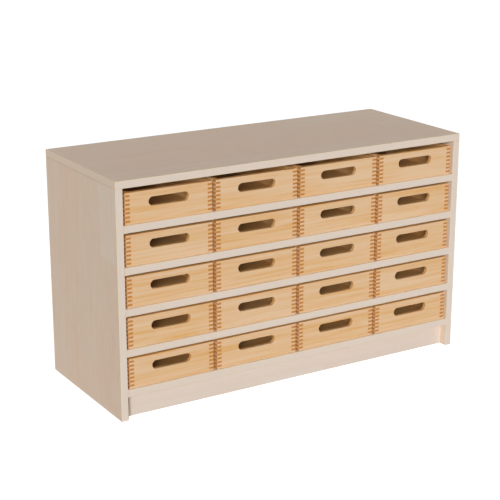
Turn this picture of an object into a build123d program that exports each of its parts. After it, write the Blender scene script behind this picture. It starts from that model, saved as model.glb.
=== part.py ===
from build123d import *

import os
from math import radians, tan

# Tray storage cabinet: a laminated board carcass with rows of box-jointed wooden trays.
# X runs to the right, Y from the front to the back and Z up, all in millimetres.
# The origin is on the floor under the middle of the cabinet.

os.makedirs("parts", exist_ok=True)

# Whole cabinet
cabinet_width = 1020.0
cabinet_depth = 400.0
cabinet_height = 600.0
row_count = 5
column_count = 4

# Carcass boards
board_thickness = 19.0
plinth_height = 60.0
plinth_setback = 23.0
top_row_extra = 6.0

# Edge bands glued to the boards' visible edges
band_thickness = 2.0
band_round = 1.0

# Back panel, seated in a rebate of the sides and the top
back_thickness = 8.0
back_rebate_width = 10.0
back_play = 0.5

# Dowels, each seated partly in a panel's face and partly in the other board's end
dowel_radius = 4.0
dowel_length = 35.0
dowel_seat = 12.0
dowel_chamfer = 1.0
dowel_fit = 0.1
dowel_end_play = 0.5
dowel_edge_distance = 50.0
plinth_dowel_count = 3

# Countersunk screws that hold the back panel
screw_head_radius = 3.5
screw_head_angle = 90
screw_shank_radius = 1.75
screw_length = 25.0
screw_tip_length = 4.0
screw_sink = 0.2
screw_fit = 0.1
recess_length = 4.0
recess_width = 0.9
recess_depth = 1.6

# Trays in their rows
tray_headroom = 7.0
tray_gap = 9.5
tray_wall_gap = 6.75
tray_front_setback = 5.0
tray_back_gap = 2.0
tray_lift = 0.3

# Tray boards, joined at the corners by fingers of one height
tray_board_thickness = 13.0
side_finger_count = 7
tray_edge_round = 1.0

# Tray base, let into a groove in each board that stops short of the corner joints
base_thickness = 4.0
base_height = 5.0
groove_depth = 5.0
groove_stop = 3.0
groove_play = 0.2

# Handle slot in the front board
handle_length = 108.0
handle_height = 22.0
handle_top_margin = 17.5
handle_round = 1.5

# One overrun for every cut that leaves a board through its face
overrun = 1.0

# Planes and heights of the carcass
half_width = cabinet_width / 2
front = -cabinet_depth / 2
rear = cabinet_depth / 2
core_front = front + band_thickness
back_front = rear - back_thickness
inner_width = cabinet_width - 2 * board_thickness
inner_half = inner_width / 2
side_height = cabinet_height - board_thickness
rows_height = side_height - plinth_height - row_count * board_thickness
row_opening = (rows_height - top_row_extra) / row_count
row_step = row_opening + board_thickness
# The height of each row's floor, from the top row down. The last one is the bottom panel's top.
floors = [plinth_height + board_thickness + row * row_step for row in reversed(range(row_count))]
# The middle height of each board between the sides, and of each row's opening
board_middles = [floor - board_thickness / 2 for floor in floors]
row_middles = [floor + row_opening / 2 for floor in floors]

# Trays
tray_width = (inner_width - 2 * tray_wall_gap - (column_count - 1) * tray_gap) / column_count
tray_step = tray_width + tray_gap
tray_length = back_front - tray_back_gap - front - tray_front_setback
tray_height = row_opening - tray_headroom
tray_half = tray_width / 2
columns = [(column - (column_count - 1) / 2) * tray_step for column in range(column_count)]
finger_height = tray_height / (2 * side_finger_count + 1)
tray_inner_half = tray_half - tray_board_thickness
tray_inner_near = tray_board_thickness
tray_inner_far = tray_length - tray_board_thickness

# Places of the dowels and screws
side_middle = half_width - board_thickness / 2
dowel_rows = [
    front + dowel_edge_distance,
    (front + back_front) / 2,
    back_front - dowel_edge_distance,
]
plinth_front = front + plinth_setback
plinth_middles = [plinth_front + board_thickness / 2, back_front - board_thickness / 2]
plinth_middle_height = plinth_height / 2
plinth_dowel_step = inner_width / plinth_dowel_count
plinth_dowel_columns = [
    (number - (plinth_dowel_count - 1) / 2) * plinth_dowel_step for number in range(plinth_dowel_count)
]
rebate_middle = back_rebate_width / 2
top_screw_height = side_height + rebate_middle
side_screw_column = inner_half + rebate_middle

# Bores for the dowels and the screws
bore_radius = dowel_radius + dowel_fit
seat_bore = dowel_seat + dowel_end_play
end_bore = dowel_length - dowel_seat + dowel_end_play
pilot_radius = screw_shank_radius + screw_fit
pilot_depth = screw_length + screw_sink + screw_fit - back_thickness
head_slope = tan(radians(screw_head_angle / 2))
sink_radius = screw_head_radius + screw_sink * head_slope + screw_fit
screw_head_height = (screw_head_radius - screw_shank_radius) / head_slope

# Planes that the bores start from, each facing out of the board
left_inner_face = Plane(origin=(-inner_half, 0, 0), x_dir=(0, 1, 0), z_dir=(1, 0, 0))
left_board_end = Plane(origin=(-inner_half, 0, 0), x_dir=(0, -1, 0), z_dir=(-1, 0, 0))
right_board_end = Plane(origin=(inner_half, 0, 0), x_dir=(0, 1, 0), z_dir=(1, 0, 0))
rebate_face = Plane(origin=(0, back_front, 0), x_dir=(-1, 0, 0), z_dir=(0, 1, 0))
rear_face = Plane(origin=(0, rear, 0), x_dir=(-1, 0, 0), z_dir=(0, 1, 0))


def box_between(low, high, mode=Mode.ADD):
    """A box from its lowest corner to its highest, in the block that calls it."""
    size = [end - start for start, end in zip(low, high)]
    middle = tuple((start + end) / 2 for start, end in zip(low, high))
    with Locations(middle):
        Box(*size, mode=mode)


def bores(plane, places, radius, depth):
    """Blind round bores into the board under a plane, in the block that calls it."""
    with BuildSketch(plane) as circles:
        with Locations(*places):
            Circle(radius)
    extrude(circles.sketch, amount=-depth, mode=Mode.SUBTRACT)


# Side panels: one board each, down to the floor, with a rebate for the back panel
with BuildPart() as side_panel_left:
    box_between((-half_width, core_front, 0), (-inner_half, rear, side_height))
    box_between(
        (-inner_half - back_rebate_width, back_front, plinth_height),
        (-inner_half + overrun, rear + overrun, side_height + overrun),
        mode=Mode.SUBTRACT,
    )
    shelf_seats = [(y, z) for z in board_middles for y in dowel_rows]
    plinth_seats = [(y, plinth_middle_height) for y in plinth_middles]
    bores(left_inner_face, shelf_seats + plinth_seats, bore_radius, seat_bore)
    top_end_places = [(-side_middle, y) for y in dowel_rows]
    bores(Plane.XY.offset(side_height), top_end_places, bore_radius, end_bore)
    side_screw_places = [(side_screw_column, z) for z in row_middles]
    bores(rebate_face, side_screw_places, pilot_radius, pilot_depth)
side_panel_left.part.label = "side_panel_left"
export_step(side_panel_left.part, "parts/side_panel_left.step")

with BuildPart() as side_panel_right:
    mirror(side_panel_left.part, about=Plane.YZ)
side_panel_right.part.label = "side_panel_right"
export_step(side_panel_right.part, "parts/side_panel_right.step")

# Top panel: over both sides, banded at the front and at both ends
with BuildPart() as top_panel:
    box_between(
        (-half_width + band_thickness, core_front, side_height),
        (half_width - band_thickness, rear, cabinet_height),
    )
    box_between(
        (-inner_half - back_rebate_width, back_front, side_height - overrun),
        (inner_half + back_rebate_width, rear + overrun, side_height + back_rebate_width),
        mode=Mode.SUBTRACT,
    )
    underside = Plane.XY.offset(side_height).rotated((180, 0, 0))
    top_seats = [(x, -y) for x in (-side_middle, side_middle) for y in dowel_rows]
    bores(underside, top_seats, bore_radius, seat_bore)
    bores(rebate_face, [(x, top_screw_height) for x in columns], pilot_radius, pilot_depth)
top_panel.part.label = "top_panel"
export_step(top_panel.part, "parts/top_panel.step")


def shelf_board(floor):
    """A board between the sides whose top is a row's floor, bored for its dowels and screws."""
    middle = floor - board_thickness / 2
    with BuildPart() as board:
        box_between((-inner_half, core_front, floor - board_thickness), (inner_half, back_front, floor))
        bores(left_board_end, [(-y, middle) for y in dowel_rows], bore_radius, end_bore)
        bores(right_board_end, [(y, middle) for y in dowel_rows], bore_radius, end_bore)
        bores(rebate_face, [(x, middle) for x in columns], pilot_radius, pilot_depth)
    return board.part


# Shelves, numbered from the top, each the floor of one row of trays
for number, floor in enumerate(floors[:-1], start=1):
    with BuildPart() as shelf:
        add(shelf_board(floor))
    shelf.part.label = f"shelf_{number}"
    export_step(shelf.part, f"parts/shelf_{number}.step")

# Bottom panel: like a shelf, and dowelled to the plinth boards under it
with BuildPart() as bottom_panel:
    add(shelf_board(floors[-1]))
    plinth_side = Plane.XY.offset(plinth_height).rotated((180, 0, 0))
    plinth_top_seats = [(x, -y) for x in plinth_dowel_columns for y in plinth_middles]
    bores(plinth_side, plinth_top_seats, bore_radius, seat_bore)
bottom_panel.part.label = "bottom_panel"
export_step(bottom_panel.part, "parts/bottom_panel.step")

# Plinth boards: between the sides, on the floor, under the bottom panel
for name, middle in zip(("plinth_board_front", "plinth_board_rear"), plinth_middles):
    with BuildPart() as plinth_board:
        box_between(
            (-inner_half, middle - board_thickness / 2, 0),
            (inner_half, middle + board_thickness / 2, plinth_height),
        )
        bores(left_board_end, [(-middle, plinth_middle_height)], bore_radius, end_bore)
        bores(right_board_end, [(middle, plinth_middle_height)], bore_radius, end_bore)
        plinth_top_places = [(x, middle) for x in plinth_dowel_columns]
        bores(Plane.XY.offset(plinth_height), plinth_top_places, bore_radius, end_bore)
    plinth_board.part.label = name
    export_step(plinth_board.part, f"parts/{name}.step")

# Screws of the back panel: a row into each board, and one beside each row of trays
screw_places = [(x, z) for z in [top_screw_height, *board_middles] for x in columns]
screw_places += [(x, z) for z in row_middles for x in (-side_screw_column, side_screw_column)]

# Back panel: in the rebates, over the rear edges of the shelves and the bottom panel
with BuildPart() as back_panel:
    back_half = inner_half + back_rebate_width - back_play
    box_between(
        (-back_half, back_front, plinth_height),
        (back_half, rear, side_height + back_rebate_width - back_play),
    )
    with Locations(rear_face):
        with Locations(*screw_places):
            CounterSinkHole(pilot_radius, sink_radius, counter_sink_angle=screw_head_angle)
back_panel.part.label = "back_panel"
export_step(back_panel.part, "parts/back_panel.step")

# One screw, its head's flat top at the origin and its point downwards
with BuildPart() as screw:
    with BuildSketch(Plane.XZ):
        with BuildLine():
            Polyline(
                (0, 0),
                (screw_head_radius, 0),
                (screw_shank_radius, -screw_head_height),
                (screw_shank_radius, screw_tip_length - screw_length),
                (0, -screw_length),
                close=True,
            )
        make_face()
    revolve(axis=Axis.Z)
    with BuildSketch():
        Rectangle(recess_length, recess_width)
        Rectangle(recess_width, recess_length)
    extrude(amount=-recess_depth, mode=Mode.SUBTRACT)

with BuildPart() as back_panel_screws:
    with Locations(rear_face.offset(-screw_sink)):
        with Locations(*screw_places):
            add(screw.part)
back_panel_screws.part.label = "back_panel_screws"
export_step(back_panel_screws.part, "parts/back_panel_screws.step")

# One dowel, centred on the origin and upright
with BuildPart() as dowel:
    Cylinder(dowel_radius, dowel_length)
    chamfer(dowel.edges().filter_by(GeomType.CIRCLE), length=dowel_chamfer)

# Dowels of the whole carcass: at the ends of every board, in the top and over the plinths
with BuildPart() as dowels:
    dowel_shift = dowel_seat - dowel_length / 2
    end_column = inner_half + dowel_shift
    lying_places = [(x, y, z) for x in (-end_column, end_column) for y, z in shelf_seats + plinth_seats]
    with Locations(*[Location(place, (0, 90, 0)) for place in lying_places]):
        add(dowel.part)
    upright_places = [(x, y, side_height) for x in (-side_middle, side_middle) for y in dowel_rows]
    upright_places += [(x, y, plinth_height) for x in plinth_dowel_columns for y in plinth_middles]
    with Locations(*[(x, y, z + dowel_shift) for x, y, z in upright_places]):
        add(dowel.part)
dowels.part.label = "dowels"
export_step(dowels.part, "parts/dowels.step")

# Edge bands of the sides: on the front edges, from the floor to the top panel
with BuildPart() as edge_bands_side_panels:
    for side in (-1, 1):
        middle = side * side_middle
        half = board_thickness / 2
        box_between((middle - half, front, 0), (middle + half, core_front, side_height))
    fillet(edge_bands_side_panels.edges().group_by(Axis.Y)[0].filter_by(Axis.Z), radius=band_round)
edge_bands_side_panels.part.label = "edge_bands_side_panels"
export_step(edge_bands_side_panels.part, "parts/edge_bands_side_panels.step")

# Edge bands of the shelves and the bottom panel: on the front edges, between the sides
with BuildPart() as edge_bands_shelves:
    for floor in floors:
        box_between((-inner_half, front, floor - board_thickness), (inner_half, core_front, floor))
    fillet(edge_bands_shelves.edges().group_by(Axis.Y)[0].filter_by(Axis.X), radius=band_round)
edge_bands_shelves.part.label = "edge_bands_shelves"
export_step(edge_bands_shelves.part, "parts/edge_bands_shelves.step")

# Edge bands of the top panel: one along the front and one on each end behind it
with BuildPart() as top_front_band:
    box_between((-half_width, front, side_height), (half_width, core_front, cabinet_height))
    fillet(top_front_band.edges().group_by(Axis.Y)[0], radius=band_round)

with BuildPart() as top_left_band:
    box_between(
        (-half_width, core_front, side_height),
        (-half_width + band_thickness, rear, cabinet_height),
    )
    fillet(top_left_band.edges().group_by(Axis.X)[0].filter_by(Axis.Y), radius=band_round)

with BuildPart() as top_right_band:
    mirror(top_left_band.part, about=Plane.YZ)

edge_bands_top_panel = Compound(
    label="edge_bands_top_panel",
    children=[top_front_band.part, top_left_band.part, top_right_band.part],
)
export_step(edge_bands_top_panel, "parts/edge_bands_top_panel.step")

# Tray boards stand in the tray's own frame: the origin is under the middle of its front face.
# The front and back boards have a finger more than the sides, so they hold both corners' ends.
even_finger_middles = [(2 * number + 0.5) * finger_height for number in range(side_finger_count + 1)]
odd_finger_middles = [(2 * number + 1.5) * finger_height for number in range(side_finger_count)]
joint_middle = tray_half - tray_board_thickness / 2
handle_middle = tray_height - handle_top_margin - handle_height / 2


def tongues(reach, play, thickness, mode=Mode.ADD):
    """Two crossing boxes that reach into all four boards of a tray and stop short of its joints."""
    stop = groove_stop + play
    top = base_height + thickness
    box_between(
        (-tray_inner_half - reach, tray_inner_near + stop, base_height),
        (tray_inner_half + reach, tray_inner_far - stop, top),
        mode,
    )
    box_between(
        (-tray_inner_half + stop, tray_inner_near - reach, base_height),
        (tray_inner_half - stop, tray_inner_far + reach, top),
        mode,
    )


def cut_base_groove():
    """Cuts the groove for the tray base out of the block that calls it."""
    tongues(groove_depth, 0, base_thickness + groove_play, mode=Mode.SUBTRACT)


def end_board_profile():
    """A tray's front or back board seen from the front, with gaps for the sides' fingers."""
    with Locations((0, tray_height / 2)):
        Rectangle(tray_width, tray_height)
    gaps = [(x, z) for x in (-joint_middle, joint_middle) for z in odd_finger_middles]
    with Locations(*gaps):
        Rectangle(tray_board_thickness, finger_height, mode=Mode.SUBTRACT)


with BuildPart() as tray_front_board:
    with BuildSketch(Plane.XZ):
        end_board_profile()
        with Locations((0, handle_middle)):
            SlotOverall(handle_length, handle_height, mode=Mode.SUBTRACT)
    extrude(amount=-tray_board_thickness)
    faces_by_depth = tray_front_board.faces().sort_by(Axis.Y)
    rims = faces_by_depth[0].inner_wires() + faces_by_depth[-1].inner_wires()
    fillet(rims.edges(), radius=handle_round)
    top_edges = tray_front_board.edges().group_by(Axis.Z)[-1].sort_by(Axis.Y)
    fillet(top_edges[:-1], radius=tray_edge_round)
    cut_base_groove()

with BuildPart() as tray_back_board:
    with BuildSketch(Plane.XZ.offset(-tray_length)):
        end_board_profile()
    extrude(amount=tray_board_thickness)
    top_edges = tray_back_board.edges().group_by(Axis.Z)[-1].sort_by(Axis.Y)
    fillet(top_edges[1:], radius=tray_edge_round)
    cut_base_groove()

with BuildPart() as tray_side_left:
    with BuildSketch(Plane.YZ.offset(-tray_half)):
        with Locations((tray_length / 2, tray_height / 2)):
            Rectangle(tray_length, tray_height)
        joint_depths = (tray_board_thickness / 2, tray_length - tray_board_thickness / 2)
        with Locations(*[(y, z) for y in joint_depths for z in even_finger_middles]):
            Rectangle(tray_board_thickness, finger_height, mode=Mode.SUBTRACT)
    extrude(amount=tray_board_thickness)
    top_edges = tray_side_left.edges().group_by(Axis.Z)[-1].sort_by(Axis.X)
    fillet(top_edges[0], radius=tray_edge_round)
    cut_base_groove()

with BuildPart() as tray_side_right:
    mirror(tray_side_left.part, about=Plane.YZ)

with BuildPart() as tray_base:
    box_between(
        (-tray_inner_half, tray_inner_near, base_height),
        (tray_inner_half, tray_inner_far, base_height + base_thickness),
    )
    tongues(groove_depth - groove_play, groove_play, base_thickness)

# Trays, numbered by row from the top and by column from the left
box_parts = {
    "back_board": tray_back_board.part,
    "side_left": tray_side_left.part,
    "side_right": tray_side_right.part,
    "base": tray_base.part,
}
for row, floor in enumerate(floors, start=1):
    for column, x in enumerate(columns, start=1):
        tray = f"tray_{row}_{column}"
        place = Location((x, front + tray_front_setback, floor + tray_lift))
        with BuildPart() as front_board:
            with Locations(place):
                add(tray_front_board.part)
        front_board.part.label = f"{tray}_front_board"
        export_step(front_board.part, f"parts/{tray}_front_board.step")

        # These four touch one another, so they stay separate solids in one group
        boards = []
        for label, part in box_parts.items():
            with BuildPart() as board:
                with Locations(place):
                    add(part)
            board.part.label = label
            boards.append(board.part)
        sides_back_base = Compound(label=f"{tray}_sides_back_base", children=boards)
        export_step(sides_back_base, f"parts/{tray}_sides_back_base.step")

print("tray width, length, height", tray_width, tray_length, tray_height)
print("row opening, finger height", row_opening, finger_height)
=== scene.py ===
import random
from math import cos, pi, radians, sin

import bmesh
import bpy
import numpy as np
from mathutils import Matrix, Vector


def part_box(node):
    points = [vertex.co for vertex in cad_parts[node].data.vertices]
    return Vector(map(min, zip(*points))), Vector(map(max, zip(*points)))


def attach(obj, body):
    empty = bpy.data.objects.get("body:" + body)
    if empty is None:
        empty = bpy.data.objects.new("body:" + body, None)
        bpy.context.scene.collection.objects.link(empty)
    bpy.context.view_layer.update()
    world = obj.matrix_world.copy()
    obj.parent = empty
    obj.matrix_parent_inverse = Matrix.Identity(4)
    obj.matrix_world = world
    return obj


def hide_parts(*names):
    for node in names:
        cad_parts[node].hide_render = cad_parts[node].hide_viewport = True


# The looks of a tray storage cabinet, in metres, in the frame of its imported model.
# X runs to the right, Y from the front to the back and Z up, from the floor under its middle.

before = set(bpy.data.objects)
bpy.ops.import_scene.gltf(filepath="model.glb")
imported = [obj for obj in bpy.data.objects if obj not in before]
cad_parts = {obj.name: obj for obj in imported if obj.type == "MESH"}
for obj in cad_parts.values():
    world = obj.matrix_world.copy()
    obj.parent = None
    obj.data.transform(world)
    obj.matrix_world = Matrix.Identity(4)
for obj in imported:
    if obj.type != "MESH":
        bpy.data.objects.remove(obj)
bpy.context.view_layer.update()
bpy.ops.object.select_all(action="DESELECT")

# Sizes of one tray, read from the frame. Its own origin is on its bottom, under its front face.
row_count, column_count = 5, 4
front_low, front_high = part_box("tray_1_1_front_board")
rest_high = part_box("tray_1_1_sides_back_base")[1]
tray_width = front_high.x - front_low.x
tray_height = front_high.z - front_low.z
tray_length = rest_high.y - front_low.y
board = front_high.y - front_low.y
tray_half = tray_width / 2
inner_half = tray_half - board

# Finger joints: the sides have seven fingers, the front and back boards one more
side_fingers = 7
finger = tray_height / (2 * side_fingers + 1)
odd_strips = range(1, 2 * side_fingers, 2)
even_strips = range(0, 2 * side_fingers + 1, 2)

# Handle slot in the front board
slot_length = 0.108
slot_height = 0.022
slot_below_top = 0.0175
slot_sides = 56
slot_middle = tray_height - slot_below_top - slot_height / 2

# Base, its groove and the play between them
base_thickness = 0.004
base_bottom = 0.005
base_top = base_bottom + base_thickness
groove_depth = 0.005
groove_stop = 0.003
groove_play = 0.0002

# How far the edges of a board are eased
slot_ease = 0.0015
top_ease = 0.001
corner_ease = 0.0006
joint_ease = 0.00012
ease_steps = 3
flat_enough = radians(1)
sharp_enough = radians(30)
near_enough = 0.0001
quarter_turn = radians(90)
# A face looks mostly one way where its normal's share of that way is past this
mostly = 0.5


# Bench work: small steps that shape a board


def take_up(piece):
    """Selects one piece and nothing else."""
    bpy.ops.object.select_all(action="DESELECT")
    bpy.context.view_layer.objects.active = piece
    piece.select_set(True)


def start_block(name, low, high):
    """A block from its lowest to its highest corner."""
    low, high = Vector(low), Vector(high)
    bpy.ops.object.select_all(action="DESELECT")
    bpy.ops.mesh.primitive_cube_add(size=1, location=(low + high) / 2, scale=high - low)
    bpy.ops.object.transform_apply(location=True, rotation=True, scale=True)
    block = bpy.context.object
    block.name = name
    block.data.name = name
    return block


def pick_faces(piece, test):
    """Selects the faces of a piece in edit mode whose middle and normal pass a test."""
    bpy.ops.mesh.select_mode(type="FACE")
    bpy.ops.mesh.select_all(action="DESELECT")
    mesh = bmesh.from_edit_mesh(piece.data)
    for face in mesh.faces:
        if test(face.calc_center_median(), face.normal):
            face.select_set(True)
    bmesh.update_edit_mesh(piece.data)


def saw_strips():
    """Enters edit mode and cuts lines round a new block at every finger's height."""
    bpy.ops.object.mode_set(mode="EDIT")
    for strip in range(1, 2 * side_fingers + 1):
        bpy.ops.mesh.select_all(action="SELECT")
        bpy.ops.mesh.bisect(plane_co=(0, 0, strip * finger), plane_no=(0, 0, 1))


def pull_fingers(piece, direction, strips):
    """Pulls the fingers of a joint out of a board's end, one at each named strip."""
    direction = Vector(direction)
    squarely = 0.9

    def on_finger(middle, normal):
        return normal.dot(direction) > squarely and int(middle.z / finger) in strips

    pick_faces(piece, on_finger)
    bpy.ops.mesh.extrude_region_move(TRANSFORM_OT_translate={"value": direction * board})


def merge_flat_faces():
    """Joins the strips of each flat face again, and leaves edit mode."""
    bpy.ops.mesh.select_all(action="SELECT")
    bpy.ops.mesh.dissolve_limited(angle_limit=flat_enough)
    bpy.ops.object.mode_set(mode="OBJECT")


def apply_modifier(piece, modifier):
    """Makes a modifier's effect part of a piece's mesh."""
    take_up(piece)
    bpy.ops.object.modifier_apply(modifier=modifier.name)


def shape_with(piece, other, operation):
    """Cuts another shape out of a piece, or adds it to the piece, and removes the other."""
    step = piece.modifiers.new("shape", "BOOLEAN")
    step.operation = operation
    step.solver = "EXACT"
    step.object = other
    apply_modifier(piece, step)
    bpy.data.objects.remove(other)


def slot_cutter():
    """A round-ended bar that reaches through the front board. It is a cylinder turned by half a
    step, so that no vertex lies in its middle plane, with its two halves moved apart."""
    half_step = pi / slot_sides
    bar_length = 3 * board
    bpy.ops.object.select_all(action="DESELECT")
    bpy.ops.mesh.primitive_cylinder_add(
        vertices=slot_sides,
        radius=slot_height / 2,
        depth=bar_length,
        location=(0, board / 2, slot_middle),
        rotation=(quarter_turn, half_step, 0),
    )
    bpy.ops.object.transform_apply(location=True, rotation=True, scale=True)
    cutter = bpy.context.object
    bpy.ops.object.mode_set(mode="EDIT")
    bpy.ops.mesh.select_mode(type="VERT")
    for side in (-1, 1):
        bpy.ops.mesh.select_all(action="DESELECT")
        mesh = bmesh.from_edit_mesh(cutter.data)
        for vertex in mesh.verts:
            vertex.select_set(vertex.co.x * side > 0)
        bmesh.update_edit_mesh(cutter.data)
        bpy.ops.transform.translate(value=(side * (slot_length - slot_height) / 2, 0, 0))
    bpy.ops.object.mode_set(mode="OBJECT")
    return cutter


def base_block(name, reach_x, reach_y, top):
    """A block that lies where the base does. It reaches into a tray's boards, or stops short
    of them where the reach is below zero."""
    low = (-inner_half - reach_x, board - reach_y, base_bottom)
    high = (inner_half + reach_x, tray_length - board + reach_y, top)
    return start_block(name, low, high)


def cut_groove(piece):
    """Cuts the base's groove into a board, where it stops short of the joints."""
    top = base_top + groove_play
    for reach_x, reach_y in ((groove_depth, -groove_stop), (-groove_stop, groove_depth)):
        shape_with(piece, base_block("groove", reach_x, reach_y, top), "DIFFERENCE")


def ease_edges(piece, width_of):
    """Eases each outer edge of a board by the width that its place asks for, given to the edge
    as a share of the widest. The flat faces keep their own shading, and the eased edges turn
    smoothly from one to the next."""
    widest = slot_ease
    take_up(piece)
    bpy.ops.object.mode_set(mode="EDIT")
    mesh = bmesh.from_edit_mesh(piece.data)
    weights = mesh.edges.layers.float.get("bevel_weight_edge")
    if weights is None:
        weights = mesh.edges.layers.float.new("bevel_weight_edge")
    for edge in mesh.edges:
        if len(edge.link_faces) == 2 and edge.is_convex and edge.calc_face_angle() > sharp_enough:
            edge[weights] = width_of(edge.verts[0].co, edge.verts[1].co) / widest
    bmesh.update_edit_mesh(piece.data)
    bpy.ops.object.mode_set(mode="OBJECT")
    ease = piece.modifiers.new("ease", "BEVEL")
    ease.limit_method = "WEIGHT"
    ease.width = widest
    ease.segments = ease_steps
    ease.use_clamp_overlap = False
    apply_modifier(piece, ease)
    bpy.ops.object.shade_smooth_by_angle(angle=sharp_enough)
    even_out = piece.modifiers.new("even_out", "WEIGHTED_NORMAL")
    even_out.keep_sharp = True
    even_out.weight = 100
    apply_modifier(piece, even_out)


# The boards of one tray, each modelled once in the tray's own frame


def both_at(value, first, second):
    """True if both ends of an edge lie at one value."""
    return abs(first - value) < near_enough and abs(second - value) < near_enough


def end_board_width(face_y):
    """How far the edges of a front or back board are eased. face_y is its outer face."""

    def width_of(a, b):
        if both_at(tray_height, a.z, b.z):
            return top_ease
        on_end = both_at(tray_half, a.x, b.x) or both_at(-tray_half, a.x, b.x)
        if on_end and both_at(face_y, a.y, b.y):
            return corner_ease
        in_slot = max(abs(a.x), abs(b.x)) < slot_length / 2 + near_enough
        in_slot = in_slot and min(a.z, b.z) > slot_middle - slot_height / 2 - near_enough
        if in_slot and (both_at(0, a.y, b.y) or both_at(board, a.y, b.y)):
            return slot_ease
        return joint_ease

    return width_of


def side_board_width(a, b):
    """How far the edges of a tray's side board are eased."""
    if both_at(tray_height, a.z, b.z):
        return top_ease
    on_end = both_at(0, a.y, b.y) or both_at(tray_length, a.y, b.y)
    on_face = both_at(tray_half, a.x, b.x) or both_at(-tray_half, a.x, b.x)
    if on_end and on_face:
        return corner_ease
    return joint_ease


def end_board(name, near, far):
    """A front or back board between two depths, with its fingers and the base's groove. The
    front board has the handle slot."""
    is_front = near == 0
    piece = start_block(name, (-inner_half, near, 0), (inner_half, far, tray_height))
    saw_strips()
    for side in (-1, 1):
        pull_fingers(piece, (side, 0, 0), even_strips)
    merge_flat_faces()
    cut_groove(piece)
    if is_front:
        shape_with(piece, slot_cutter(), "DIFFERENCE")
    ease_edges(piece, end_board_width(near if is_front else far))
    return piece


def side_board(name, side):
    """A side board on the left (-1) or the right (1)."""
    near, far = sorted((side * inner_half, side * tray_half))
    piece = start_block(name, (near, board, 0), (far, tray_length - board, tray_height))
    saw_strips()
    for direction in (-1, 1):
        pull_fingers(piece, (0, direction, 0), odd_strips)
    merge_flat_faces()
    cut_groove(piece)
    ease_edges(piece, side_board_width)
    return piece


def base_board(name):
    """The base, with a tongue into each board and corners that stay clear of the joints."""
    reach = groove_depth - groove_play
    stop = groove_stop + groove_play
    piece = base_block(name, 0, 0, base_top)
    for reach_x, reach_y in ((reach, -stop), (-stop, reach)):
        shape_with(piece, base_block("tongues", reach_x, reach_y, base_top), "UNION")
    ease_edges(piece, lambda a, b: joint_ease)
    return piece


def read_faces(mesh, what):
    """The normal or the centre of each face, one row a face."""
    values = np.empty(len(mesh.polygons) * 3, np.float32)
    mesh.polygons.foreach_get(what, values)
    return values.reshape(-1, 3)


def painted_shade_shares(normals, middles):
    """How much painted shade each face takes, as a golden darkening of the wood: 1 inside the tray,
    on its upper edges and in its handle slot, less on its other sides, and 0 on its front."""
    outer_side_shade_share = 0.15
    low = (-inner_half - near_enough, board - near_enough, base_top - near_enough)
    high = (inner_half + near_enough, tray_length - board + near_enough, tray_height)
    within = (middles > low).all(1) & (middles < high).all(1)
    on_top = (normals[:, 2] > mostly) & (middles[:, 2] > tray_height - top_ease)
    in_slot = (np.abs(middles[:, 0]) < slot_length / 2) & (middles[:, 1] < board)
    in_slot &= np.abs(middles[:, 2] - slot_middle) < slot_height / 2
    in_slot &= np.abs(normals[:, 1]) < mostly
    behind_front = middles[:, 1] > slot_ease
    return np.where(within | on_top | in_slot, 1.0, np.where(behind_front, outer_side_shade_share, 0.0))


def mark_grain(piece, order):
    """Writes how the wood lies in a board: along, across and through it, from its middle. It also
    marks the ends of the grain and how much painted shade, a golden darkening, each face takes. The
    log's heart is filled in on each copy of the board."""
    mesh = piece.data
    places = np.empty(len(mesh.vertices) * 3, np.float32)
    mesh.vertices.foreach_get("co", places)
    places = places.reshape(-1, 3)
    lowest, highest = places.min(0), places.max(0)
    middle = (lowest + highest) / 2
    grain = mesh.attributes.new("grain", "FLOAT_VECTOR", "POINT")
    grain.data.foreach_set("vector", (places - middle)[:, order].ravel())
    along = order[0]
    fingers_begin = (highest[along] - lowest[along]) / 2 - board - near_enough
    normals, middles = read_faces(mesh, "normal"), read_faces(mesh, "center")
    end_grain = np.abs(normals[:, along]) > mostly
    end_grain &= np.abs(middles[:, along] - middle[along]) > fingers_begin
    corners = np.empty(len(mesh.polygons), np.int32)
    mesh.polygons.foreach_get("loop_total", corners)
    for label, values in (("end_grain", end_grain), ("golden_and_painted_shade", painted_shade_shares(normals, middles))):
        mark = mesh.attributes.new(label, "FLOAT", "CORNER")
        mark.data.foreach_set("value", np.repeat(values, corners).astype(np.float32))
    mesh.attributes.new("heart", "FLOAT_VECTOR", "POINT")
    return piece


# Wood orders: which of X, Y and Z runs along, across and through the board
wood_of_ends = [0, 2, 1]
wood_of_sides = [1, 2, 0]
wood_of_base = [0, 1, 2]
front_master = mark_grain(end_board("front_master", 0, board), wood_of_ends)
back_master = mark_grain(end_board("back_master", tray_length - board, tray_length), wood_of_ends)
left_master = mark_grain(side_board("left_master", -1), wood_of_sides)
right_master = mark_grain(side_board("right_master", 1), wood_of_sides)
base_master = mark_grain(base_board("base_master"), wood_of_base)


# Shader steps that every material uses


def colour(red, green, blue):
    """A colour given as it shows on screen, from 0 to 255, for a shader."""
    shares = [value / 255 for value in (red, green, blue)]
    return (*[s / 12.92 if s <= 0.04045 else ((s + 0.055) / 1.055) ** 2.4 for s in shares], 1)


def put(tree, kind, inputs=None, **settings):
    """Adds a shader node. Each input is a value or another node's output."""
    node = tree.nodes.new(kind)
    for name, value in settings.items():
        setattr(node, name, value)
    for name, value in (inputs or {}).items():
        if isinstance(value, bpy.types.NodeSocket):
            tree.links.new(value, node.inputs[name])
        else:
            node.inputs[name].default_value = value
    return node


def maths(tree, operation, *values):
    """One operation on numbers."""
    return put(tree, "ShaderNodeMath", dict(enumerate(values)), operation=operation).outputs[0]


def product(tree, *values):
    """All the numbers times each other."""
    result = values[0]
    for value in values[1:]:
        result = maths(tree, "MULTIPLY", result, value)
    return result


def total(tree, *values):
    """The sum of all the numbers."""
    result = values[0]
    for value in values[1:]:
        result = maths(tree, "ADD", result, value)
    return result


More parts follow.
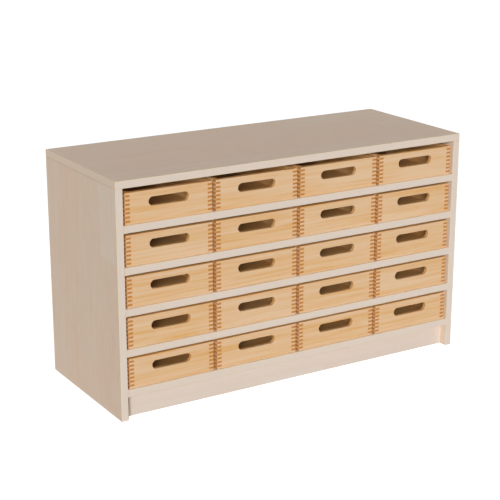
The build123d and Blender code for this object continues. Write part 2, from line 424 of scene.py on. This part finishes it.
def swing(tree, value, reach):
    """A noise value from 0 to 1 made to swing about zero, by reach from end to end."""
    return maths(tree, "MULTIPLY", maths(tree, "SUBTRACT", value, 0.5), reach)


def split(tree, vector):
    """The X, Y and Z of a vector, or the red, green and blue of a colour."""
    return put(tree, "ShaderNodeSeparateXYZ", {0: vector}).outputs


def noise(tree, x, y, z, detail=2.0):
    """Noise at a place given in cycles."""
    place = put(tree, "ShaderNodeCombineXYZ", {0: x, 1: y, 2: z}).outputs[0]
    inputs = {"Vector": place, "Scale": 1.0, "Detail": detail, "Roughness": 0.5}
    return put(tree, "ShaderNodeTexNoise", inputs).outputs[0]


def drawn_noise(tree, places, rates, detail=2.0):
    """Noise at a place along, across and through a board, each times its own rate."""
    return noise(tree, *[product(tree, p, rate) for p, rate in zip(places, rates)], detail)


def even_noise(tree, place, rate, detail):
    """Noise at the same rate all ways, in cycles a metre."""
    return drawn_noise(tree, split(tree, place)[:3], (rate, rate, rate), detail)


def ramp(tree, value, start, end):
    """Rises smoothly from 0 to 1 between two values."""
    inputs = {"Value": value, "From Min": start, "From Max": end}
    return put(tree, "ShaderNodeMapRange", inputs, interpolation_type="SMOOTHSTEP").outputs[0]


def mix(tree, factor, first, second):
    """A colour between two others: the first at 0, the second at 1."""
    inputs = {0: factor, 6: first, 7: second}
    return put(tree, "ShaderNodeMix", inputs, data_type="RGBA").outputs[2]


def scaled(tree, shade, factor):
    """A colour made lighter or darker by a factor."""
    node = put(tree, "ShaderNodeVectorMath", {0: shade, "Scale": factor}, operation="SCALE")
    return node.outputs[0]


def new_group(name, inputs, outputs):
    """A shader group with its named sockets. A socket is a colour, vector or number."""
    kinds = {"colour": "NodeSocketColor", "vector": "NodeSocketVector", "number": "NodeSocketFloat"}
    tree = bpy.data.node_groups.new(name, "ShaderNodeTree")
    for way, sockets in (("INPUT", inputs), ("OUTPUT", outputs)):
        for label, kind in sockets.items():
            tree.interface.new_socket(label, in_out=way, socket_type=kinds[kind])
    taken = tree.nodes.new("NodeGroupInput").outputs
    given = tree.nodes.new("NodeGroupOutput").inputs
    return tree, taken, given


def use_group(tree, group, inputs):
    """Adds a shader group and gives its outputs."""
    return put(tree, "ShaderNodeGroup", inputs, node_tree=group).outputs


def solid_wood_group():
    """Solid wood with rings round the heart of its log, fibres along it and darker ends."""
    tree, taken, given = new_group(
        "solid_wood",
        {
            "Grain": "vector",
            "Heart": "vector",
            "End": "number",
            "Early wood": "colour",
            "Late wood": "colour",
            "End wood": "colour",
        },
        {"Color": "colour", "Roughness": "number", "Height": "number"},
    )
    ring_width = 0.0085
    lean = 0.03
    wander = 0.016
    slant = 0.4
    # Rates in cycles a metre: along, across and through, or along and across
    drift_rates = (3.5, 13, 13)
    fibre_rates = (22, 700, 700)
    pore_rates = (300, 1400, 1400)
    line_rates = (4, 190)
    streak_rates = (2.5, 48)
    # How fast the years' widths change, and by how many years they run ahead or behind
    uneven_rate, uneven_years = 0.45, 2.0
    # Where in a ring the late wood begins and ends, and which lines are golden
    late_begins, late_ends = 0.15, 0.86
    golden_lines = (0.52, 0.72)
    # How far each pattern moves the tone from early wood, 0, to late wood, 1
    plain_tone, late_tone, golden_tone = 0.24, 0.16, 0.4
    fibre_tone, line_tone, streak_tone = 0.4, 0.7, 1.8
    late_end_tone, pore_tone = -0.16, 0.3
    plain_roughness, fibre_roughness, end_roughness = 0.43, 0.16, 0.17
    late_height, fibre_height = 0.4, 0.6
    along, across, through = split(tree, taken["Grain"])[:3]
    beside, below, seed = split(tree, taken["Heart"])[:3]
    spot = total(tree, along, seed)
    drift = drawn_noise(tree, (spot, across, through), drift_rates)
    flow = total(tree, across, product(tree, through, slant), swing(tree, drift, wander / 2))
    sideways = maths(tree, "SUBTRACT", across, beside)
    depth = total(tree, through, below, product(tree, along, lean))
    radius = maths(
        tree, "SQRT", total(tree, product(tree, sideways, sideways), product(tree, depth, depth))
    )
    years = maths(tree, "DIVIDE", total(tree, radius, swing(tree, drift, wander)), ring_width)
    uneven = noise(tree, product(tree, years, uneven_rate), seed, 0.0, detail=1.0)
    ring = maths(tree, "FRACT", total(tree, years, swing(tree, uneven, uneven_years)))
    fall = maths(tree, "SUBTRACT", 1.0, ramp(tree, ring, late_ends, 1.0))
    late = product(tree, ramp(tree, ring, late_begins, late_ends), fall)
    fibre = drawn_noise(tree, (spot, across, through), fibre_rates, detail=3.0)

    def figure(rates, detail=2.0):
        """A pattern drawn out along the grain, another one in each log."""
        run, side = product(tree, spot, rates[0]), product(tree, flow, rates[1])
        return noise(tree, run, side, seed, detail)

    line = figure(line_rates, detail=3.0)
    streak = figure(streak_rates)
    golden_and_painted_shade = product(tree, ramp(tree, line, *golden_lines), golden_tone)
    tone = total(
        tree,
        product(tree, late, late_tone),
        swing(tree, fibre, fibre_tone),
        swing(tree, line, line_tone),
        swing(tree, streak, streak_tone),
        golden_and_painted_shade,
        plain_tone,
    )
    face = mix(tree, maths(tree, "MAXIMUM", tone, 0.0), taken["Early wood"], taken["Late wood"])
    pores = drawn_noise(tree, (along, across, through), pore_rates, detail=3.0)
    end_tone = total(tree, 1.0, product(tree, late, late_end_tone), swing(tree, pores, pore_tone))
    end = scaled(tree, taken["End wood"], end_tone)
    tree.links.new(mix(tree, taken["End"], face, end), given["Color"])
    roughness = total(
        tree,
        plain_roughness,
        swing(tree, fibre, fibre_roughness),
        product(tree, taken["End"], end_roughness),
    )
    tree.links.new(roughness, given["Roughness"])
    height = total(tree, product(tree, late, late_height), product(tree, fibre, fibre_height))
    tree.links.new(height, given["Height"])
    return tree


def laminate_group():
    """A pale wood decor: wide staves that differ a little, with faint fine grain."""
    tree, taken, given = new_group(
        "laminate",
        {
            "Vector": "vector",
            "Pale": "colour",
            "Warm": "colour",
            "Stave width": "number",
            "Strength": "number",
        },
        {"Color": "colour", "Roughness": "number", "Height": "number"},
    )
    stave_length = 0.95
    stave_starts = 9
    # Rates in cycles a metre, along and across
    streak_rates = (5, 150)
    flame_rates = (22, 34)
    fine_rates = (60, 1300)
    # How much each pattern changes the shade
    stave_change, streak_change, flame_change, fine_change = 0.45, 1.1, 0.6, 0.5
    plain_roughness, streak_roughness = 0.5, 0.2
    along, across = split(tree, taken["Vector"])[:2]
    stave = maths(tree, "FLOOR", maths(tree, "DIVIDE", across, taken["Stave width"]))
    start = put(tree, "ShaderNodeTexWhiteNoise", {"W": stave}, noise_dimensions="1D").outputs[0]
    block = maths(tree, "FLOOR", total(tree, maths(tree, "DIVIDE", along, stave_length), start))
    cell = put(tree, "ShaderNodeCombineXYZ", {0: stave, 1: block}).outputs[0]
    shade = put(tree, "ShaderNodeTexWhiteNoise", {"Vector": cell}, noise_dimensions="2D").outputs[0]
    offset = product(tree, shade, stave_starts)

    def figure(rates, begin, detail=2.0):
        """A pattern drawn out along a stave, from a beginning of its own."""
        run = total(tree, product(tree, along, rates[0]), begin)
        return noise(tree, run, product(tree, across, rates[1]), offset, detail)

    streak = figure(streak_rates, offset, detail=4.0)
    flame = figure(flame_rates, offset)
    fine = figure(fine_rates, 0.0)
    change = total(
        tree,
        swing(tree, shade, stave_change),
        swing(tree, streak, streak_change),
        swing(tree, flame, flame_change),
        swing(tree, fine, fine_change),
    )
    warmth = total(tree, 0.5, product(tree, change, taken["Strength"]))
    tree.links.new(mix(tree, warmth, taken["Pale"], taken["Warm"]), given["Color"])
    roughness = total(tree, plain_roughness, swing(tree, streak, streak_roughness))
    tree.links.new(roughness, given["Roughness"])
    tree.links.new(fine, given["Height"])
    return tree


def chip_core_group():
    """The pressed chips that show on a laminated board's sawn edge."""
    tree, taken, given = new_group(
        "chip_core",
        {"Vector": "vector"},
        {"Color": "colour", "Height": "number"},
    )
    chip_rate = 420.0
    dust_rate = 900
    dust_change = 0.35
    chip_height, dust_height = 0.6, 0.4
    chips = put(tree, "ShaderNodeTexVoronoi", {"Vector": taken["Vector"], "Scale": chip_rate})
    shade = split(tree, chips.outputs["Color"])[0]
    pale = mix(tree, shade, colour(201, 172, 132), colour(158, 124, 84))
    dust = even_noise(tree, taken["Vector"], dust_rate, detail=3.0)
    level = total(tree, 1.0, swing(tree, dust, dust_change))
    tree.links.new(scaled(tree, pale, level), given["Color"])
    height = total(tree, product(tree, shade, chip_height), product(tree, dust, dust_height))
    tree.links.new(height, given["Height"])
    return tree


solid_wood = solid_wood_group()
laminate = laminate_group()
chip_core = chip_core_group()


# Materials

# Pale and warm shades of the decor on the boards' faces, on the plinth and on the edge bands. The
# decor on the boards' faces is warmer than the bands in front as painted shade, the warmer tone
# that the top and the sides take in shade.
decor_shades = (colour(226, 208, 190), colour(225, 198, 174))
plinth_shades = (colour(219, 206, 194), colour(218, 199, 183))
band_shades = (colour(220, 207, 195), colour(219, 202, 185))
# The bands' rounded edges are yellower, a colour of their own, and kept light as painted light
# where they face away from the lamps
rounded_yellow_and_painted_light = colour(223, 203, 163)
# Painted shade: the bands on the top's ends, which face sideways, are tinted a little warmer than
# those in front
painted_side_shade_tint = (1.07, 1.01, 0.93, 1)
white = (1, 1, 1, 1)
decor_gloss = 0.1
tray_gloss = 0.2
# How wide the decor's staves are, and how strongly its shades change
board_stave, board_strength = 0.112, 1.4
band_stave, band_strength = 0.5, 0.7
# Painted shade: the wood that isn't on a tray's front face is tinted darker and more golden, as
# wood in shade shows
painted_shade_tint = (1.0, 0.86, 0.6, 1)
core_roughness = 0.85
# How deep the bumps of wood, of decor and of plated steel are
wood_depth = 0.0001
decor_depth = 0.00005
band_depth = 0.00004
plate_depth = 0.00005


def new_material(name, **shine):
    """A material, its tree and its Principled shader, with its constants set on it."""
    material = bpy.data.materials.new(name)
    material.use_nodes = True
    tree = material.node_tree
    principled = tree.nodes["Principled BSDF"]
    for label, value in shine.items():
        principled.inputs[label.replace("_", " ")].default_value = value
    return material, tree, principled


def join_up(tree, principled, shade, roughness, height, depth):
    """Feeds a colour, a roughness and a bump of some depth to a Principled shader."""
    tree.links.new(shade, principled.inputs["Base Color"])
    tree.links.new(roughness, principled.inputs["Roughness"])
    bump = put(tree, "ShaderNodeBump", {"Height": height, "Distance": depth, "Strength": 1.0})
    tree.links.new(bump.outputs[0], principled.inputs["Normal"])


def in_order(tree, order, shift):
    """Object coordinates put in a board's own order, along, across and through, and moved."""
    place = put(tree, "ShaderNodeTexCoord").outputs["Object"]
    parts = split(tree, place)
    ordered = put(tree, "ShaderNodeCombineXYZ", {n: parts[axis] for n, axis in enumerate(order)})
    moved = put(tree, "ShaderNodeVectorMath", {0: ordered.outputs[0], 1: shift}, operation="ADD")
    return place, moved.outputs[0]


def facing(tree, axis):
    """How squarely a surface faces along one axis, from 0 to 1."""
    normal = put(tree, "ShaderNodeNewGeometry").outputs["Normal"]
    return maths(tree, "ABSOLUTE", split(tree, normal)[axis])


def attribute(tree, name, output):
    """What a board's mesh holds under a name."""
    return put(tree, "ShaderNodeAttribute", attribute_name=name).outputs[output]


def tinted(tree, shade, factor, tint):
    """A colour times a tint, as far as a factor says."""
    part = mix(tree, factor, white, tint)
    return put(tree, "ShaderNodeVectorMath", {0: shade, 1: part}, operation="MULTIPLY").outputs[0]


def tray_wood_material():
    """Solid wood for the trays, which follows the grain that each board's mesh holds."""
    material, tree, principled = new_material("tray_wood", Specular_IOR_Level=tray_gloss)
    wood = use_group(
        tree,
        solid_wood,
        {
            "Grain": attribute(tree, "grain", "Vector"),
            "Heart": attribute(tree, "heart", "Vector"),
            "End": attribute(tree, "end_grain", "Fac"),
            "Early wood": colour(222, 189, 153),
            "Late wood": colour(216, 167, 105),
            "End wood": colour(198, 131, 64),
        },
    )
    # Painted shade: the wood is tinted darker and more golden inside the tray, in its slot, on its
    # upper edges and a little on its sides
    shade = tinted(tree, wood["Color"], attribute(tree, "golden_and_painted_shade", "Fac"), painted_shade_tint)
    join_up(tree, principled, shade, wood["Roughness"], wood["Height"], wood_depth)
    return material


def lay_decor(tree, vector, shades, stave, strength):
    """Puts in the decor, with its pale and warm shades, stave width and strength."""
    pale, warm = shades
    inputs = {"Vector": vector, "Pale": pale, "Warm": warm}
    return use_group(tree, laminate, {**inputs, "Stave width": stave, "Strength": strength})


def laminate_material(name, order, shift, shades):
    """A laminated board's material. The decor lies on the faces that the last axis of order
    runs through, and the core shows on its sawn edges."""
    material, tree, principled = new_material(name, Specular_IOR_Level=decor_gloss)
    place, vector = in_order(tree, order, shift)
    decor = lay_decor(tree, vector, shades, board_stave, board_strength)
    core = use_group(tree, chip_core, {"Vector": place})
    on_face = maths(tree, "GREATER_THAN", facing(tree, order[2]), mostly)

    def either(of_core, of_decor):
        """The core's value on a sawn edge, and the decor's on a face."""
        difference = maths(tree, "SUBTRACT", of_decor, of_core)
        return total(tree, of_core, product(tree, on_face, difference))

    shade = mix(tree, on_face, core["Color"], decor["Color"])
    roughness = either(core_roughness, decor["Roughness"])
    height = either(core["Height"], decor["Height"])
    join_up(tree, principled, shade, roughness, height, decor_depth)
    return material


def band_material(name, order, shift):
    """An edge band's material: painted shade tints its sideways faces warmer, and its rounded edges
    are yellower, kept light as painted light.
    """
    flat_from = 0.985
    material, tree, principled = new_material(name, Specular_IOR_Level=decor_gloss)
    vector = in_order(tree, order, shift)[1]
    decor = lay_decor(tree, vector, band_shades, band_stave, band_strength)
    sideways, forwards, upwards = [facing(tree, axis) for axis in range(3)]
    squarely = maths(tree, "MAXIMUM", sideways, maths(tree, "MAXIMUM", forwards, upwards))
    rounded = maths(tree, "LESS_THAN", squarely, flat_from)
    # Painted shade tints the faces that look sideways warmer; the rounded edges get their yellower
    # colour, kept light as painted light
    shade = tinted(tree, decor["Color"], sideways, painted_side_shade_tint)
    shade = mix(tree, rounded, shade, rounded_yellow_and_painted_light)
    join_up(tree, principled, shade, decor["Roughness"], decor["Height"], band_depth)
    return material


def dowel_material():
    """Plain turned dowels, all cut from one length."""
    heart = (0.02, 0.05, 3.0)
    material, tree, principled = new_material("dowel_wood")
    place = put(tree, "ShaderNodeTexCoord").outputs["Object"]
    wood = use_group(
        tree,
        solid_wood,
        {
            "Grain": place,
            "Heart": heart,
            "End": 0.0,
            "Early wood": colour(214, 184, 146),
            "Late wood": colour(196, 158, 112),
            "End wood": colour(180, 140, 96),
        },
    )
    join_up(tree, principled, wood["Color"], wood["Roughness"], wood["Height"], wood_depth)
    return material


def screw_material():
    """Zinc plate, a little dull and uneven."""
    cloud_rate = 260
    plain_roughness, cloud_roughness = 0.3, 0.25
    material, tree, principled = new_material("screw_steel", Metallic=1.0)
    place = put(tree, "ShaderNodeTexCoord").outputs["Object"]
    cloud = even_noise(tree, place, cloud_rate, detail=3.0)
    shade = mix(tree, cloud, colour(214, 210, 196), colour(176, 172, 158))
    roughness = total(tree, plain_roughness, swing(tree, cloud, cloud_roughness))
    join_up(tree, principled, shade, roughness, cloud, plate_depth)
    return material


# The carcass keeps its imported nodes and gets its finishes


def give_finish(piece, finish):
    """Makes a finish the only material of a piece."""
    piece.data.materials.clear()
    piece.data.materials.append(finish)


# Which of X, Y and Z runs along, across and through a board
along_x_flat = (0, 1, 2)
along_x_upright = (0, 2, 1)
along_z_side = (2, 1, 0)
board_orders = {
    "top_panel": along_x_flat,
    "side_panel_left": along_z_side,
    "side_panel_right": along_z_side,
    "bottom_panel": along_x_flat,
    "shelf_1": along_x_flat,
    "shelf_2": along_x_flat,
    "shelf_3": along_x_flat,
    "shelf_4": along_x_flat,
    "plinth_board_front": along_x_upright,
    "plinth_board_rear": along_x_upright,
    "back_panel": along_x_upright,
}
# How much further along and across its sheet each board or band is cut than the one before
board_steps = (1.7, 0.31)
band_steps = (2.3, 0.11)
first_across = 0.045
for number, (node, order) in enumerate(board_orders.items(), start=1):
    shift = (board_steps[0] * number, first_across + board_steps[1] * number, 0)
    shades = plinth_shades if node.startswith("plinth") else decor_shades
    give_finish(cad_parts[node], laminate_material(f"{node}_decor", order, shift, shades))

band_orders = {
    "edge_bands_top_panel": along_x_upright,
    "edge_bands_side_panels": along_z_side,
    "edge_bands_shelves": along_x_upright,
}
for number, (node, order) in enumerate(band_orders.items(), start=1):
    shift = (band_steps[0] * number, band_steps[1] * number, 0)
    give_finish(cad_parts[node], band_material(f"{node}_decor", order, shift))

give_finish(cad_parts["dowels"], dowel_material())
give_finish(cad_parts["back_panel_screws"], screw_material())


# The trays: copies of the boards, each with wood from another place in the log
draws = random.Random(17)
# How far the log's heart lies beside and below a board, and which log the board is from
heart_beside = (-0.02, 0.02)
heart_below = (0.035, 0.075)
log_seeds = (0, 9)
tray_wood = tray_wood_material()


def board_copy(master, name, place):
    """A copy of a master board in its tray's place, cut from another part of a log."""
    piece = master.copy()
    piece.data = master.data.copy()
    piece.name = name
    piece.data.name = name
    bpy.context.collection.objects.link(piece)
    piece.data.transform(Matrix.Translation(place))
    heart = [draws.uniform(*reach) for reach in (heart_beside, heart_below, log_seeds)]
    hearts = np.tile(heart, len(piece.data.vertices)).astype(np.float32)
    piece.data.attributes["heart"].data.foreach_set("vector", hearts)
    give_finish(piece, tray_wood)
    return piece


def join_pieces(pieces):
    """Joins pieces into the first one."""
    bpy.ops.object.select_all(action="DESELECT")
    for piece in pieces:
        piece.select_set(True)
    bpy.context.view_layer.objects.active = pieces[0]
    bpy.ops.object.join()
    return pieces[0]


for row in range(1, row_count + 1):
    for column in range(1, column_count + 1):
        tray = f"tray_{row}_{column}"
        low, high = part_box(f"{tray}_front_board")
        place = Vector(((low.x + high.x) / 2, low.y, low.z))
        front_piece = board_copy(front_master, f"{tray}_front", place)
        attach(front_piece, tray)
        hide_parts(f"{tray}_front_board")
        masters = (back_master, left_master, right_master, base_master)
        rest = join_pieces([board_copy(master, f"{tray}_box", place) for master in masters])
        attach(rest, tray)
        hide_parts(f"{tray}_sides_back_base")

for master in (front_master, back_master, left_master, right_master, base_master):
    bpy.data.objects.remove(master)


# Floor, background, light and camera


def light_path_is_seen(tree):
    """1 for what the camera sees, also in a gloss or through something clear, and else 0."""
    path = put(tree, "ShaderNodeLightPath").outputs
    seen = maths(tree, "MAXIMUM", path["Is Camera Ray"], path["Is Glossy Ray"])
    return maths(tree, "MAXIMUM", seen, path["Is Transmission Ray"])


floor_size = 60.0
floor_shade = 0.45
floor_lift = 0.85
bpy.ops.object.select_all(action="DESELECT")
bpy.ops.mesh.primitive_plane_add(size=floor_size, location=(0, 0, 0))
floor = bpy.context.object
floor.name = "floor"
floor_material, floor_tree, floor_shader = new_material(
    "floor", Base_Color=(floor_shade, floor_shade, floor_shade, 1), Roughness=1.0
)
floor_shader.inputs["Specular IOR Level"].default_value = 0.0
floor_shader.inputs["Emission Color"].default_value = white
lift = product(floor_tree, light_path_is_seen(floor_tree), floor_lift)
floor_tree.links.new(lift, floor_shader.inputs["Emission Strength"])
floor.data.materials.append(floor_material)

sky_level = 0.03
world = bpy.data.worlds.new("studio")
bpy.context.scene.world = world
world.use_nodes = True
world_tree = world.node_tree
background = world_tree.nodes["Background"]
background.inputs["Color"].default_value = white
seen = light_path_is_seen(world_tree)
strength = total(world_tree, sky_level, product(world_tree, seen, 1 - sky_level))
world_tree.links.new(strength, background.inputs["Strength"])


lamp_distance = 5.0
lamp_spread = radians(20)


def lamp(name, azimuth, elevation, level):
    """A far, soft lamp. Azimuth 0 is in front of the cabinet, and to the right is positive.
    Level is how bright a white surface that faces the lamp shows, from 0 to 1."""
    turn, rise = radians(azimuth), radians(elevation)
    away = Vector((sin(turn) * cos(rise), -cos(turn) * cos(rise), sin(rise)))
    bpy.ops.object.light_add(type="SUN", location=away * lamp_distance)
    light = bpy.context.object
    light.name = name
    light.data.angle = lamp_spread
    light.data.energy = level * pi
    light.rotation_euler = (-away).to_track_quat("-Z", "Y").to_euler()


lamp("key", azimuth=-33.5, elevation=16, level=1.02)
lamp("top", azimuth=0, elevation=80, level=0.11)
lamp("right", azimuth=95, elevation=4, level=0.62)
lamp("rear", azimuth=175, elevation=4, level=0.62)

camera_place = (-1.838, -2.974, 1.371)
camera_pitch = radians(16.98)
camera_yaw = radians(31.38)
camera_lens = 98.7
camera_sensor = 36.0
bpy.ops.object.camera_add(
    location=camera_place, rotation=(quarter_turn - camera_pitch, 0, -camera_yaw)
)
camera = bpy.context.object
camera.name = "camera"
camera.data.lens = camera_lens
camera.data.sensor_width = camera_sensor
camera.data.sensor_fit = "HORIZONTAL"
camera.data.clip_start = 0.1
camera.data.clip_end = 100.0
bpy.context.scene.camera = camera
bpy.context.scene.view_settings.view_transform = "Standard"

bpy.context.view_layer.update()
